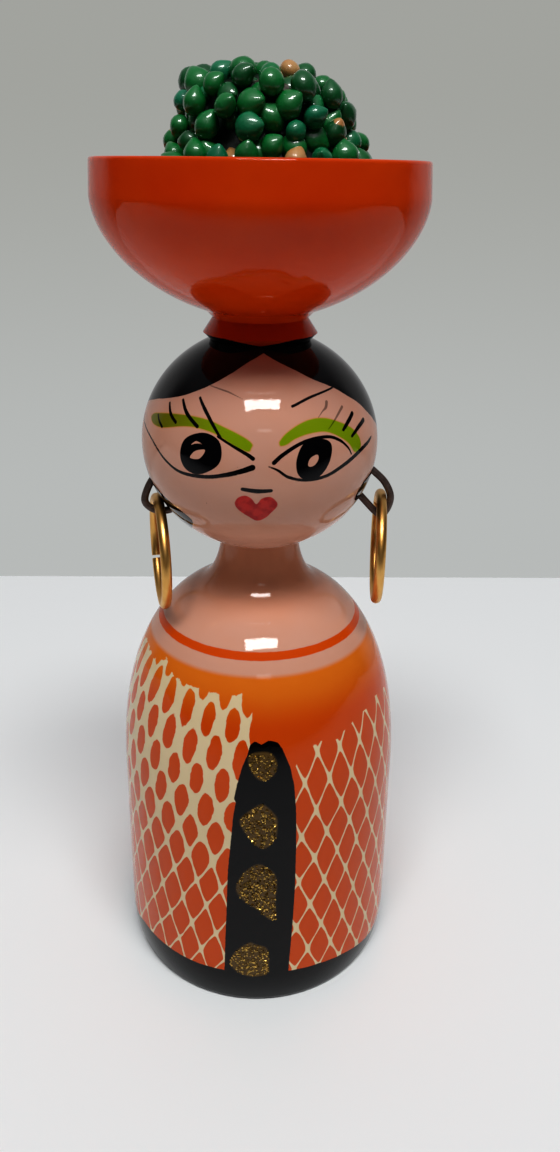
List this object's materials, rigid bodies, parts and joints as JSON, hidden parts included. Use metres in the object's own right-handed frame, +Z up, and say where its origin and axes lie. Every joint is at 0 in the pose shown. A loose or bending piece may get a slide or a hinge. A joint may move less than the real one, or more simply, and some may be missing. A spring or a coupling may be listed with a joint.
{
  "type": "turned wooden figure",
  "caption": "Turned and painted wooden doll: a woman with a bowl of green seeds on her head and hoop earrings.",
  "frame": {"origin": "centre of the flat base the figure stands on", "axes": "+Z up through the body, head and bowl, the face towards -Y, the figure's right ear towards -X"},
  "size_m": [0.0602, 0.0602, 0.18],
  "materials": {
    "body_paint": "painted wood under clear lacquer, glossy",
    "face_paint": "painted wood under clear lacquer, glossy",
    "bowl_lacquer": "painted wood under clear lacquer, glossy",
    "seeds": "dyed seeds set in clear glue, glossy",
    "dark_wire": "dark iron wire, dull",
    "brass_wire": "satin brass wire"
  },
  "bodies": {
    "root": {"body": "body_paint", "head": "face_paint", "bowl": "bowl_lacquer", "seed_heap": "seeds", "ear_wire_left": "dark_wire", "ear_wire_right": "dark_wire", "hoop_earring_left": "brass_wire", "hoop_earring_right": "brass_wire"}
  },
  "joints": []
}
